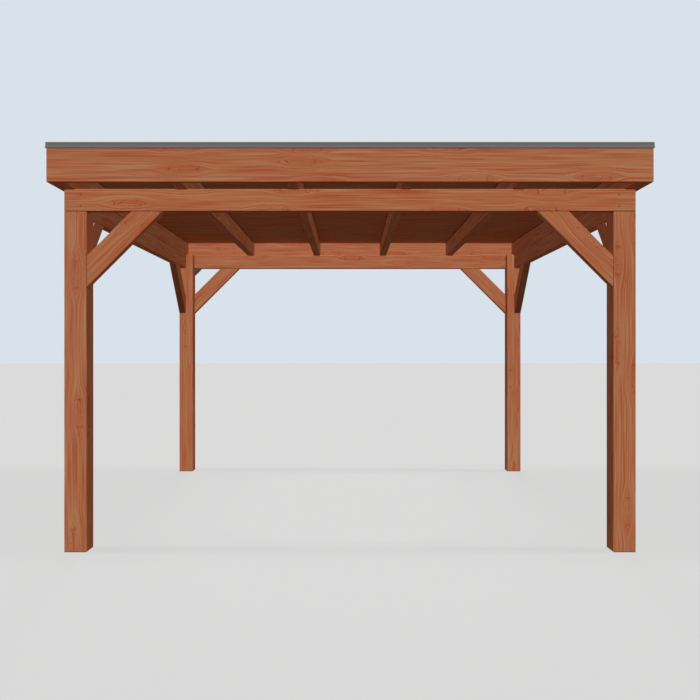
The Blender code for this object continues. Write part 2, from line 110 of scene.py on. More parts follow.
# The stain where it is thin, where it goes deep and on a knot; the painted shade in a joint; and the darker
# stain on a cut end, whose colour is also painted shade on the arrises that look down.
STAIN_TAN = "#a97955"
STAIN_RED = "#9d4429"
STAIN_ON_KNOT = "#94402a"
SHADE_IN_JOINT = "#3c1b10"
END_STAIN_AND_SHADE = "#5d2c1b"
# How far the grain wanders and over what length, along the timber and across it, and so too for the
# swirl of the fibres at a knot. Then the length and width of a fibre, the width of a yearly ring, and
# the width and length of the narrow and the broad tones that stand for several rings.
WANDER = (0, 0.010, 0.010)
WANDER_LENGTHS = (0.80, 0.12, 0.12)
SWIRL = (0.050, 0.020, 0)
SWIRL_LENGTHS = (0.045, 0.020, 0.020)
FIBRE_LENGTHS = (0.12, 0.0016, 0.0016)
RING_WIDTH = 0.0036
NARROW_TONE = (0.0052, 0.45)
BROAD_TONE = (0.030, 0.9)
# Knots in the timbers: how far apart the pairs come along the log and round it, the share of places
# without a pair, half the way between its two knots, a knot's half length and half width with a 1 for
# the flat axis, and the lens of parted rings round the pair.
KNOT_PITCH = 0.85
KNOT_ROWS = 0.075
KNOT_ABSENT = 0.30
KNOT_HALF_GAP = 0.088
KNOT_SIZE = (0.006, 0.013, 1)
LENS_MIDDLE = 0.060
LENS_HALF_LENGTH = 0.200
LENS_HALF_HEIGHT = 0.020
LENS_REACH = 0.060

# Matched roof boards.
BOARD_COUNT = 28
BOARD_JOINT = 0.0008
BOARD_V = 0.0035
BOARD_HEART = (0.30, 0.30)

# Screws through the beams' ends into the posts.
SCREW_FROM_CORNER = 0.107
SCREW_FROM_EDGE = 0.035
SCREW_HEAD_RADIUS = 0.0055
SMALL_SCREW_RADIUS = 0.004
SCREW_SIDES = 24
SCREW_LOBES = 6
# A screw head from its seat to the floor of its socket: radius, height and depth of the lobes, each as
# a share of the head's radius or of the ring's own.
SCREW_PROFILE = ((1.0, 0, 0), (1.0, 0.12, 0), (0.88, 0.25, 0), (0.60, 0.30, 0),
                 (0.40, 0.30, 0.12), (0.40, 0.10, 0.12))

# Roof skin: its sheet, the ripples and the flat stretch along the walls where they fade out, the
# folded corner ears, and how far below the outlet's flange its opening ends.
SKIN_THICKNESS = 0.0015
SKIN_FILLET = 0.014
SKIN_FILLET_STEPS = 5
SKIN_RIPPLE = 0.0022
SKIN_RIPPLE_LENGTHS = (0.42, 0.30)
SKIN_RIPPLE_FADE = 0.15
SKIN_CELLS = 72
SKIN_EAR = 0.058
SKIN_EAR_FOOT = 0.018
SKIN_EAR_START = 0.004
SKIN_EAR_FOLD = 0.006
SKIN_EAR_TUCK = 0.002
SKIN_OPENING_DROP = 0.024

# Rainwater goods: sheet and pipe walls, and the small radii that moulding leaves.
PIPE_RADIUS = 0.040
PIPE_WALL = 0.002
ROUND_SIDES = 64
CORNER_STEPS = 12
SOFT_EDGE = 0.001
FINE_EDGE = 0.0006
BEND_RADIUS = 0.070
BEND_STEPS = 12
# A socket has a bead round its mouth and a taper down to the pipe.
SOCKET_LENGTH = 0.045
SOCKET_TAPER = 0.005
BEAD_RISE = 0.0012
BEAD_HEIGHT = 0.006
BEAD_RUNOUT = 0.002
# The collar between the bends has a lip at its lower end.
COLLAR_LENGTH = 0.050
COLLAR_RISE = 0.003
COLLAR_LIP = 0.008
COLLAR_EDGE = 0.0008
# Outlet: a spout, a flange on the turned-up skin and an apron on the deck.
SPOUT_WIDTH = 0.100
SPOUT_HEIGHT = 0.036
SPOUT_WALL = 0.002
SPOUT_CORNER = 0.008
APRON_DEPTH = 0.050
PLATE_CORNER = 0.010
FLANGE_SCREW_INSET = 0.012
FLANGE_SCREW_DROP = 0.010
APRON_SCREW_INSET = 0.014
# Hopper: a box with a thick rim, over a funnel.
RIM_HEIGHT = 0.012
RIM_STEP = 0.004
RIM_CORNER = 0.0125
BOX_CORNER = 0.010
FUNNEL_HEIGHT = 0.045
FUNNEL_SHOULDER = 0.006
FUNNEL_STEPS = 12
HOPPER_SCREW_REACH = 0.055
HOPPER_SCREW_DROP = 0.016
# Pipe clips: band, bolted ears, rod and wall plate.
CLIP_BAND_HEIGHT = 0.025
CLIP_WALL = 0.0025
CLIP_EAR_WIDTH = 0.015
CLIP_EAR_HEIGHT = 0.022
CLIP_EAR_CORNER = 0.004
CLIP_BOLT_RADIUS = 0.0046
CLIP_BOLT_HEIGHT = 0.0034
CLIP_BOLT_CHAMFER = 0.0004
CLIP_BOLT_SIDES = 6
CLIP_ROD_RADIUS = 0.005
CLIP_ROD_FILLET = ((0.004, 0), (0.002, 0.003), (0, 0.005))
CLIP_PLATE_RADIUS = 0.021
CLIP_PLATE_THICKNESS = 0.003
CLIP_SCREW_REACH = 0.0145


def linear(hex_colour):
    """The linear colour of an sRGB hex value, with full alpha."""
    channels = [int(hex_colour[i:i + 2], 16) / 255 for i in (1, 3, 5)]
    return (*[c / 12.92 if c <= 0.04045 else ((c + 0.055) / 1.055) ** 2.4 for c in channels], 1.0)


def add(tree, kind, sockets=(), out=0, **settings):
    """Adds a shader node and returns one of its outputs.

    sockets gives each input a value or an output, by the input's name or number, or in their order.
    """
    made = tree.nodes.new("ShaderNode" + kind)
    for name, value in settings.items():
        setattr(made, name, value)
    given = sockets.items() if isinstance(sockets, dict) else enumerate(sockets)
    for key, value in given:
        if isinstance(value, bpy.types.NodeSocket):
            tree.links.new(value, made.inputs[key])
        else:
            made.inputs[key].default_value = value
    return made.outputs[out]


# A Mix node set to colours keeps them in these sockets.
MIX_A, MIX_B, MIX_RESULT = 6, 7, 2


def new_finish(name, **sockets):
    """A material with one Principled shader, whose fixed values are given by their sockets' names."""
    material = bpy.data.materials.new(name)
    material.use_nodes = True
    shader = material.node_tree.nodes["Principled BSDF"]
    for socket, value in sockets.items():
        shader.inputs[socket.replace("_", " ")].default_value = value
    return material, material.node_tree, shader


def feed(tree, shader, **sockets):
    """Links outputs to the shader's sockets, given by their names."""
    for socket, output in sockets.items():
        tree.links.new(output, shader.inputs[socket.replace("_", " ")])


def ring_radius(tree, own, place, heart):
    """How far a point is from the heart of the log. The grain wanders by a few millimetres a metre."""
    slow = add(tree, "VectorMath", [own, WANDER_LENGTHS], operation="DIVIDE")
    wander = add(tree, "TexNoise", {"Vector": slow, "Scale": 1.0, "Detail": 2.0}, out="Color")
    bent = add(tree, "VectorMath", [wander, WANDER, place], operation="MULTIPLY_ADD")
    across = add(tree, "VectorMath", [bent, (0, 1, 1), (0, -heart[0], -heart[1])],
                 operation="MULTIPLY_ADD")
    return add(tree, "VectorMath", [across], out="Value", operation="LENGTH")


def way_to_knots(tree, own, along, tangent):
    """Where a point lies from the nearest pair of knots, if that pair is there, and the pair's chance.

    Branches leave the heart in pairs, a hand apart, and the fibres swirl there by up to a centimetre.
    """
    aside = add(tree, "VectorMath", [own, tangent], out="Value", operation="DOT_PRODUCT")
    cell = add(tree, "CombineXYZ", [add(tree, "Math", [along, KNOT_PITCH], operation="DIVIDE"),
                                    add(tree, "Math", [aside, KNOT_ROWS], operation="DIVIDE")])
    pair = add(tree, "TexVoronoi", {"Vector": cell, "Scale": 1.0, "Randomness": 0.8},
               out="Position", voronoi_dimensions="2D")
    kind = add(tree, "SeparateColor", {"Color": pair.node.outputs["Color"]}, out="Red")
    present = add(tree, "Math", [kind, KNOT_ABSENT], operation="GREATER_THAN")
    offset = add(tree, "VectorMath", [cell, pair], operation="SUBTRACT")
    offset = add(tree, "VectorMath", [offset, (KNOT_PITCH, KNOT_ROWS, 0)], operation="MULTIPLY")
    swirl = add(tree, "VectorMath", [own, SWIRL_LENGTHS], operation="DIVIDE")
    swirl = add(tree, "TexNoise", {"Vector": swirl, "Scale": 1.0, "Detail": 1.0}, out="Color")
    offset = add(tree, "VectorMath", [swirl, SWIRL, offset], operation="MULTIPLY_ADD")
    return offset, present, kind


def facing_past_heart(tree, normal, turn, from_heart, tangent):
    """-1 on the two faces that look past the heart on the other side, and 1 elsewhere."""
    looks = [add(tree, "VectorMath", [normal, turn.transposed() @ way], out="Value",
                 operation="DOT_PRODUCT") for way in (from_heart, tangent)]
    return add(tree, "Math", [add(tree, "Math", looks, operation="MULTIPLY")], operation="SIGN")


def rings_past_knots(tree, radius, offset, present, kind, turn_way):
    """The rings part round each pair of knots in a long lens and nest inside it.

    Gives the radius outside the lens and inside it, the share of the lens, and that of a knot's core.
    """
    off_along = add(tree, "SeparateXYZ", [offset])
    off_aside = off_along.node.outputs["Y"]
    way_along = add(tree, "Math", [off_along], operation="ABSOLUTE")
    way_aside = add(tree, "Math", [off_aside], operation="ABSOLUTE")
    parting = add(tree, "MapRange", [way_along, LENS_MIDDLE, LENS_HALF_LENGTH, LENS_HALF_HEIGHT, 0.0])
    fade = add(tree, "MapRange", [way_aside, LENS_HALF_HEIGHT, LENS_REACH, 1.0, 0.0])
    side = add(tree, "Math", [off_aside], operation="SIGN")
    for share in (present, fade, side, turn_way):
        parting = add(tree, "Math", [parting, share], operation="MULTIPLY")
    radius = add(tree, "Math", [radius, parting], operation="SUBTRACT")

    taper = add(tree, "MapRange", [way_along, LENS_MIDDLE, LENS_HALF_LENGTH, 0.0, LENS_HALF_HEIGHT])
    nested = add(tree, "Math", [way_aside, taper], operation="ADD")
    lens = add(tree, "MapRange", [nested, 0.8 * LENS_HALF_HEIGHT, LENS_HALF_HEIGHT, 1.0, 0.0])
    lens = add(tree, "Math", [lens, present], operation="MULTIPLY")
    nested = add(tree, "Math", [nested, 1.6, kind], operation="MULTIPLY_ADD")
    inner = add(tree, "Mix", {0: lens, 2: radius, 3: nested}, data_type="FLOAT")

    from_core = add(tree, "Math", [way_along, KNOT_HALF_GAP], operation="SUBTRACT")
    core = add(tree, "CombineXYZ", [from_core, way_aside])
    core = add(tree, "VectorMath", [core, KNOT_SIZE], operation="DIVIDE")
    core = add(tree, "VectorMath", [core], out="Value", operation="LENGTH")
    core = add(tree, "MapRange", [core, 0.6, 1.2, 1.0, 0.0])
    core = add(tree, "Math", [core, present], operation="MULTIPLY")
    return radius, inner, lens, core


def ring_tone(tree, radius, along, width, length):
    """A broad tone that follows the rings, as wide and as long as given."""
    spot = add(tree, "CombineXYZ", [add(tree, "Math", [radius, width], operation="DIVIDE"),
                                    add(tree, "Math", [along, length], operation="DIVIDE")])
    tone = add(tree, "TexNoise", {"Vector": spot, "Scale": 1.0, "Detail": 2.0, "Roughness": 0.5},
               noise_dimensions="2D")
    return add(tree, "MapRange", [tone, 0.30, 0.70])


def paint_joint_shade(tree, wood):
    """Painted shade in the joints: the wood is darker where other wood lies within 10 mm of it."""
    joint_shade = add(tree, "AmbientOcclusion", {"Distance": 0.010}, out="AO", samples=4)
    joint_shade = add(tree, "MapRange", [joint_shade, 0.45, 0.95, 0.90, 0.0])
    return add(tree, "Mix", {0: joint_shade, MIX_A: wood, MIX_B: linear(SHADE_IN_JOINT)}, out=MIX_RESULT,
               data_type="RGBA")


def end_stain_and_arris_shade(tree, wood, normal, grain, turn):
    """Cut ends drink more stain and show darker, and the same colour is painted shade on the arrises that
    look down.
    """
    facing_end = add(tree, "VectorMath", [normal, grain], out="Value", operation="DOT_PRODUCT")
    end = add(tree, "Math", [facing_end], operation="ABSOLUTE")
    end = add(tree, "MapRange", [end, 0.80, 0.95, 0.0, 0.55])
    wood = add(tree, "Mix", {0: end, MIX_A: wood, MIX_B: linear(END_STAIN_AND_SHADE)}, out=MIX_RESULT,
               data_type="RGBA")
    board_normal = add(tree, "Mapping", {"Vector": normal, "Rotation": turn.to_euler()},
                       vector_type="VECTOR")
    squares = add(tree, "VectorMath", [board_normal, board_normal], operation="MULTIPLY")
    flat = add(tree, "VectorMath", [squares], out="Value", operation="LENGTH")
    arris = add(tree, "MapRange", [flat, 0.75, 0.95, 1.0, 0.0])
    upward = add(tree, "SeparateXYZ", [normal], out="Z")
    downward = add(tree, "MapRange", [upward, -0.4, -0.1, 0.6, 0.0])
    # Painted shade: the arrises that look down are darkened as shade would darken them.
    arris_shade = add(tree, "Math", [arris, downward], operation="MULTIPLY")
    return add(tree, "Mix", {0: arris_shade, MIX_A: wood, MIX_B: linear(END_STAIN_AND_SHADE)}, out=MIX_RESULT,
               data_type="RGBA")


def stained_softwood(name, grain, thin, centre, heart, chance, places=None):
    """Planed spruce under one coat of translucent red-brown stain, with no gloss.

    The stain takes deeper in the soft bands between the yearly rings, so the eye sees tan and red
    streaks along the board, which part round the knots, and arcs of rings on the end grain. heart is
    where the middle of the log lies across the board, from the board's own middle. places names the
    mesh's own record of where each point lies in its board.
    """
    material, tree, shader = new_finish(name, Roughness=0.68, Specular_IOR_Level=0.0)
    turn = Matrix((grain, thin, grain.cross(thin)))
    if places:
        place = add(tree, "Attribute", out="Vector", attribute_name=places)
    else:
        place = add(tree, "Mapping", {"Vector": add(tree, "TexCoord", out="Object"),
                                      "Location": -(turn @ centre), "Rotation": turn.to_euler()})
    own = add(tree, "VectorMath", [place, chance], operation="ADD")
    along = add(tree, "SeparateXYZ", [own], out="X")
    normal = add(tree, "NewGeometry", out="Normal")
    from_heart = Vector((0, *heart)).normalized()
    tangent = Vector((0, heart[1], -heart[0])).normalized()

    radius = ring_radius(tree, own, place, heart)
    turn_way = facing_past_heart(tree, normal, turn, from_heart, tangent)
    offset, present, kind = way_to_knots(tree, own, along, tangent)
    radius, inner, lens, core = rings_past_knots(tree, radius, offset, present, kind, turn_way)

    # The yearly rings are 3 to 4 mm wide. Their broader tones are drawn at 5 mm and 30 mm, coarser than
    # real, because single rings are too fine to show from the camera.
    narrow = ring_tone(tree, inner, along, *NARROW_TONE)
    broad = ring_tone(tree, radius, along, *BROAD_TONE)
    ring = add(tree, "Math", [inner, RING_WIDTH], operation="DIVIDE")
    ring = add(tree, "Math", [ring], operation="FRACT")
    ring = add(tree, "Math", [ring, 3.0], operation="POWER")
    # Fibres, 1.6 mm wide and up to 120 mm long.
    fine = add(tree, "VectorMath", [own, FIBRE_LENGTHS], operation="DIVIDE")
    fibre = add(tree, "TexNoise", {"Vector": fine, "Scale": 1.0, "Detail": 2.0})

    thin_stain = add(tree, "Math", [broad, 0.25], operation="MULTIPLY")
    for pattern, share in ((narrow, 0.75), (fibre, 0.35), (ring, -0.22), (lens, -0.12)):
        thin_stain = add(tree, "Math", [pattern, share, thin_stain], operation="MULTIPLY_ADD")
    thin_stain = add(tree, "Math", [thin_stain, 0.06], operation="SUBTRACT", use_clamp=True)
    wood = add(tree, "Mix", {0: thin_stain, MIX_A: linear(STAIN_RED), MIX_B: linear(STAIN_TAN)},
               out=MIX_RESULT, data_type="RGBA")
    core = add(tree, "Math", [core, 0.75], operation="MULTIPLY")
    wood = add(tree, "Mix", {0: core, MIX_A: wood, MIX_B: linear(STAIN_ON_KNOT)}, out=MIX_RESULT,
               data_type="RGBA")
    # Painted shade in the joints.
    wood = paint_joint_shade(tree, wood)
    # Darker stain on the cut ends, and painted shade on the arrises that look down.
    if not places:
        wood = end_stain_and_arris_shade(tree, wood, normal, grain, turn)

    height = add(tree, "Math", [ring, 0.5, fibre], operation="MULTIPLY_ADD")
    bump = add(tree, "Bump", {"Height": height, "Strength": 0.25, "Distance": 0.0004})
    feed(tree, shader, Base_Color=wood, Normal=bump)
    return material


def coated_aluminium():
    """Folded aluminium sheet, powder-coated mid grey: an even satin face with a fine orange peel."""
    material, tree, shader = new_finish("coated_aluminium", Roughness=0.42, Specular_IOR_Level=0.4)
    place = add(tree, "TexCoord", out="Object")
    # Orange peel, 2 mm across.
    peel = add(tree, "TexNoise", {"Vector": place, "Scale": 1 / 0.002, "Detail": 1.0})
    # Slight change of tone from sheet rolling, over a few hundred millimetres.
    cloud = add(tree, "TexNoise", {"Vector": place, "Scale": 1 / 0.35, "Detail": 3.0})
    colour = add(tree, "Mix", {0: cloud, MIX_A: linear("#605f60"), MIX_B: linear("#656465")},
                 out=MIX_RESULT, data_type="RGBA")
    bump = add(tree, "Bump", {"Height": peel, "Strength": 0.10, "Distance": 0.0002})
    feed(tree, shader, Base_Color=colour, Normal=bump)
    return material


def rigid_pvc():
    """Extruded and moulded rigid PVC in dark grey, smooth, with faint die lines and a soft sheen."""
    material, tree, shader = new_finish("rigid_pvc", Specular_IOR_Level=0.4)
    place = add(tree, "TexCoord", out="Object")
    # Die lines 4 mm apart run down the pipe.
    stretched = add(tree, "VectorMath", [place, (0.004, 0.004, 0.9)], operation="DIVIDE")
    lines = add(tree, "TexNoise", {"Vector": stretched, "Scale": 1.0, "Detail": 2.0})
    cloud = add(tree, "TexNoise", {"Vector": place, "Scale": 1 / 0.12, "Detail": 3.0})
    colour = add(tree, "Mix", {0: cloud, MIX_A: linear("#41484b"), MIX_B: linear("#4b5154")},
                 out=MIX_RESULT, data_type="RGBA")
    roughness = add(tree, "MapRange", {"Value": lines, "To Min": 0.34, "To Max": 0.48})
    bump = add(tree, "Bump", {"Height": lines, "Strength": 0.06, "Distance": 0.0003})
    feed(tree, shader, Base_Color=colour, Roughness=roughness, Normal=bump)
    return material


def roofing_rubber():
    """Calendered EPDM sheet: near black, matt, with a fine cloth-like pebble and pale dried dust."""
    material, tree, shader = new_finish("roofing_rubber", Roughness=0.78, Specular_IOR_Level=0.3)
    place = add(tree, "TexCoord", out="Object")
    # Pebble of the calender roll, 1.5 mm across.
    pebble = add(tree, "TexNoise", {"Vector": place, "Scale": 1 / 0.0015, "Detail": 1.0})
    # Dust dries in patches a few hundred millimetres across.
    patch = add(tree, "TexNoise", {"Vector": place, "Scale": 1 / 0.42, "Detail": 6.0, "Roughness": 0.6})
    dust = add(tree, "MapRange", {"Value": patch, "From Min": 0.42, "From Max": 0.75, "To Max": 0.3})
    colour = add(tree, "Mix", {0: dust, MIX_A: linear("#242527"), MIX_B: linear("#4a4843")},
                 out=MIX_RESULT, data_type="RGBA")
    bump = add(tree, "Bump", {"Height": pebble, "Strength": 0.15, "Distance": 0.0003})
    feed(tree, shader, Base_Color=colour, Normal=bump)
    return material


def bronzed_steel():
    """Hardened screws with a brown wax-polymer coat: a dark metallic brown with a worn sheen."""
    material, tree, shader = new_finish("bronzed_steel", Specular_IOR_Level=0.15)
    place = add(tree, "TexCoord", out="Object")
    # Specks in the coat, 0.8 mm across.
    speck = add(tree, "TexNoise", {"Vector": place, "Scale": 1 / 0.0008, "Detail": 2.0})
    colour = add(tree, "Mix", {0: speck, MIX_A: linear("#6e4531"), MIX_B: linear("#8c5e45")},
                 out=MIX_RESULT, data_type="RGBA")
    roughness = add(tree, "MapRange", {"Value": speck, "To Min": 0.35, "To Max": 0.55})
    feed(tree, shader, Base_Color=colour, Roughness=roughness)
    return material


def zinc_steel():
    """Zinc-plated steel fixings, dull grey with a fine crystal bloom."""
    material, tree, shader = new_finish("zinc_steel", Metallic=0.7)
    place = add(tree, "TexCoord", out="Object")
    # Bloom of the plating, 1 mm across.
    bloom = add(tree, "TexNoise", {"Vector": place, "Scale": 1 / 0.001, "Detail": 2.0})
    colour = add(tree, "Mix", {0: bloom, MIX_A: linear("#7d8285"), MIX_B: linear("#9ea3a5")},
                 out=MIX_RESULT, data_type="RGBA")
    roughness = add(tree, "MapRange", {"Value": bloom, "To Min": 0.38, "To Max": 0.55})
    feed(tree, shader, Base_Color=colour, Roughness=roughness)
    return material


def make_piece(name, shape, material, stands_for=None):
    """Makes a modelled shape a piece that goes with the cover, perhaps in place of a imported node."""
    mesh = bpy.data.meshes.new(name)
    bmesh.ops.remove_doubles(shape, verts=shape.verts, dist=WELD_DISTANCE)
    bmesh.ops.recalc_face_normals(shape, faces=shape.faces)
    shape.to_mesh(mesh)
    shape.free()
    mesh.shade_smooth()
    mesh.set_sharp_from_angle(angle=radians(SHARP_ANGLE))
    mesh.materials.append(material)
    piece = bpy.data.objects.new(name, mesh)
    bpy.context.scene.collection.objects.link(piece)
    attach(piece, "root")
    if stands_for:
        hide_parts(stands_for)
    return piece


def skin_rings(shape, rings, closed=False, capped=False, place=Matrix()):
    """Joins rings of points, all with as many points, into a tube.

    closed joins the last ring to the first, as the wall of a pipe goes up outside and down inside.
    """
    loops = [[shape.verts.new(place @ point) for point in ring] for ring in rings]
    following = loops[1:] + loops[:1] if closed else loops[1:]
    for lower, upper in zip(loops, following):
        for here in range(len(lower)):
            there = (here + 1) % len(lower)
            shape.faces.new((lower[here], lower[there], upper[there], upper[here]))
    if capped:
        shape.faces.new(loops[0])
        shape.faces.new(loops[-1])


def rounded_ring(width, depth, corner, height):
    """Points round a rectangle with rounded corners. A corner radius of half the width is a circle."""
    points = []
    for quarter in range(4):
        middle_x = (1, -1, -1, 1)[quarter] * (width / 2 - corner)
        middle_y = (1, 1, -1, -1)[quarter] * (depth / 2 - corner)
        for step in range(CORNER_STEPS + 1):
            angle = (quarter + step / CORNER_STEPS) * pi / 2
            points.append(Vector((middle_x + corner * cos(angle), middle_y + corner * sin(angle), height)))
    return points


def round_plate(shape, width, depth, corner, thickness, place):
    """A flat plate with rounded corners and softened edges. Its lower face is at the place's origin."""
    rings = [rounded_ring(width - 2 * inset, depth - 2 * inset, corner - inset, height)
             for inset, height in ((FINE_EDGE, 0), (0, FINE_EDGE), (0, thickness - FINE_EDGE),
                                   (FINE_EDGE, thickness))]
    skin_rings(shape, rings, capped=True, place=place)


def circle(radius, height=0.0, sides=ROUND_SIDES):
    """Points round the upright axis."""
    return [Vector((radius * cos(2 * pi * i / sides), radius * sin(2 * pi * i / sides), height))
            for i in range(sides)]


def turned(shape, profile, place=Matrix(), closed=True, sides=ROUND_SIDES):
    """A turned solid from its section, given as (radius, height) points. An open section gets caps."""
    skin_rings(shape, [circle(radius, height, sides) for radius, height in profile],
               closed=closed, capped=not closed, place=place)


def facing(spot, outward):
    """A frame at a spot whose Z looks outward."""
    return Matrix.Translation(spot) @ outward.to_track_quat("Z", "Y").to_matrix().to_4x4()


def add_screw(shape, spot, outward, radius=SCREW_HEAD_RADIUS):
    """A low domed screw head with a six-lobed socket."""
    rings = []
    for share, rise, lobe in SCREW_PROFILE:
        ring = circle(radius * share, radius * rise, SCREW_SIDES)
        for number, point in enumerate(ring):
            point.xy *= 1 + lobe * cos(SCREW_LOBES * 2 * pi * number / SCREW_SIDES)
        rings.append(ring)
    skin_rings(shape, rings, capped=True, place=facing(spot, outward))


def cut_box(piece, low, high):
    """Cuts a box-shaped opening through a piece."""
    low, high = Vector(low), Vector(high)
    shape = bmesh.new()
    bmesh.ops.create_cube(shape, size=1.0)
    bmesh.ops.scale(shape, vec=high - low, verts=shape.verts)
    bmesh.ops.translate(shape, vec=(low + high) / 2, verts=shape.verts)
    mesh = bpy.data.meshes.new("opening")
    shape.to_mesh(mesh)
    shape.free()
    cutter = bpy.data.objects.new("opening", mesh)
    bpy.context.scene.collection.objects.link(cutter)
    change = piece.modifiers.new("opening", "BOOLEAN")
    change.operation = "DIFFERENCE"
    change.object = cutter
    evaluated = piece.evaluated_get(bpy.context.evaluated_depsgraph_get())
    piece.data = bpy.data.meshes.new_from_object(evaluated)
    piece.modifiers.clear()
    bpy.data.objects.remove(cutter)


# Finish of the timbers and the edge trim
def timber_directions(name):
    """The grain direction and the thin direction of a timber, from its name."""
    if name.endswith("post"):
        return UP, BACK
    lies_across = name.startswith(("front", "rear"))
    side, thin = (RIGHT, BACK) if lies_across else (BACK, RIGHT)
    if name.endswith("brace"):
        lean = -1 if name.endswith(("right_brace", "rear_brace")) else 1
        return (side * lean + UP).normalized(), thin
    return side, thin


def refinish(node, material):
    """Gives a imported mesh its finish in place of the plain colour."""
    node.data.materials.clear()
    node.data.materials.append(material)


def finish_timbers():
    """Each timber is cut from a place of its own in the log, so no two show the same grain."""
    draw = random.Random(TIMBER_SEED)
    for name in sorted(nodes):
        if not name.endswith(("post", "beam", "brace", "fascia")) and not name.startswith("rafter"):
            continue
        low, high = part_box(name)
        grain, thin = timber_directions(name)
        heart = [draw.choice((-1, 1)) * draw.uniform(HEART_NEAR, HEART_FAR) for _ in range(2)]
        chance = Vector([draw.uniform(-CUT_RANGE, CUT_RANGE) for _ in range(3)])
        wood = stained_softwood(name + "_wood", grain, thin, (low + high) / 2, heart, chance)
        refinish(nodes[name], wood)


def finish_edge_trim():
    """All four lengths are folded from one coated sheet."""
    metal = coated_aluminium()
    for name in nodes:
        if name.endswith("edge_trim"):
            refinish(nodes[name], metal)


finish_timbers()
finish_edge_trim()


# Roof boards and screws
def deck_boards():
    """Matched boards across the rafters, with V joints below. Each carries its own place for the grain."""
    low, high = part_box("roof_deck")
    pitch = (high.y - low.y) / BOARD_COUNT
    shape = bmesh.new()
    section = ((BOARD_JOINT / 2, high.z), (pitch - BOARD_JOINT / 2, high.z),
               (pitch - BOARD_JOINT / 2, low.z + BOARD_V), (pitch - BOARD_V, low.z),
               (BOARD_V, low.z), (BOARD_JOINT / 2, low.z + BOARD_V))
    for number in range(BOARD_COUNT):
        start = low.y + number * pitch
        ends = [[Vector((x, start + y, z)) for y, z in section] for x in (low.x, high.x)]
        skin_rings(shape, ends, capped=True)
    wood = stained_softwood("deck_wood", RIGHT, UP, None, BOARD_HEART, (0, 0, 0), places="board_place")
    boards = make_piece("deck_boards", shape, wood, "roof_deck")
    shifts = [random.Random(number).uniform(-CUT_RANGE, CUT_RANGE) for number in range(BOARD_COUNT)]
    places = boards.data.attributes.new("board_place", "FLOAT_VECTOR", "POINT")
    for vertex, place in zip(boards.data.vertices, places.data):
        number = vertex.index // (2 * len(section))
        middle = low.y + (number + 0.5) * pitch
        place.vector = (vertex.co.x + shifts[number], (low.z + high.z) / 2 - vertex.co.z,
                        vertex.co.y - middle)


def beam_screws():
    """Two screws at each end of each beam, through into the post behind."""
    shape = bmesh.new()
    frame_low, frame_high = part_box("front_beam")[0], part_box("rear_beam")[1]
    middle = (frame_low + frame_high) / 2
    half = (frame_high - frame_low) / 2
    for outward in (-BACK, BACK, -RIGHT, RIGHT):
        along = UP.cross(outward)
        face = middle + outward * (abs(half.dot(outward)) + GAP)
        reach = abs(half.dot(along)) - SCREW_FROM_CORNER
        for end in (-1, 1):
            for edge in (-1, 1):
                add_screw(shape, face + along * end * reach + UP * edge * (half.z - SCREW_FROM_EDGE),
                          outward)
    make_piece("beam_screws", shape, bronzed_steel())


deck_boards()
beam_screws()


# Roof skin
def turned_up_sheet(shape, low, high):
    """The middle surface of a sheet that lies in low ripples and turns up along its four edges."""
    middle, half = (low + high) / 2, (high - low) / 2
    flat = half.xy - Vector((1, 1)) * SKIN_FILLET
    bmesh.ops.create_grid(shape, x_segments=SKIN_CELLS, y_segments=SKIN_CELLS, size=1.0)
    for vertex in shape.verts:
        vertex.co.x = middle.x + vertex.co.x * flat.x
        vertex.co.y = middle.y + vertex.co.y * flat.y
        margin = min(flat.x - abs(vertex.co.x - middle.x), flat.y - abs(vertex.co.y - middle.y))
        spot = Vector((vertex.co.x / SKIN_RIPPLE_LENGTHS[0], vertex.co.y / SKIN_RIPPLE_LENGTHS[1], 0))
        swell = 0.5 + 0.5 * noise.noise(spot)
        vertex.co.z = low.z + SKIN_RIPPLE * swell * min(1, margin / SKIN_RIPPLE_FADE)
    bends = [radians(90) * step / SKIN_FILLET_STEPS for step in range(1, SKIN_FILLET_STEPS + 1)]
    levels = [(flat + Vector((1, 1)) * SKIN_FILLET * sin(bend), low.z + SKIN_FILLET * (1 - cos(bend)))
              for bend in bends] + [(half.xy, high.z)]
    for reach, height in levels:
        rim = [edge for edge in shape.edges if edge.is_boundary]
        grown = bmesh.ops.extrude_edge_only(shape, edges=rim)["geom"]
        for vertex in [item for item in grown if isinstance(item, bmesh.types.BMVert)]:
            for axis in (0, 1):
                offset = vertex.co[axis] - middle[axis]
                if abs(offset) > flat[axis] - GAP:
                    vertex.co[axis] = middle[axis] + copysign(reach[axis], offset)
            vertex.co.z = height


def add_ear(shape, corner, inward_x, inward_y):
    """The sheet's spare corner, folded flat against the wall that runs along X."""
    outline = ((SKIN_EAR_START, SKIN_EAR_FOOT), (SKIN_EAR_START, SKIN_EAR), (SKIN_EAR, SKIN_EAR),
               (SKIN_EAR - SKIN_EAR_TUCK, SKIN_EAR - SKIN_EAR_FOLD),
               (SKIN_EAR_START + SKIN_EAR_FOLD, SKIN_EAR_FOOT))
    shape.faces.new([shape.verts.new(corner + Vector((inward_x * x, inward_y * (SKIN_THICKNESS + GAP), z)))
                     for x, z in outline])


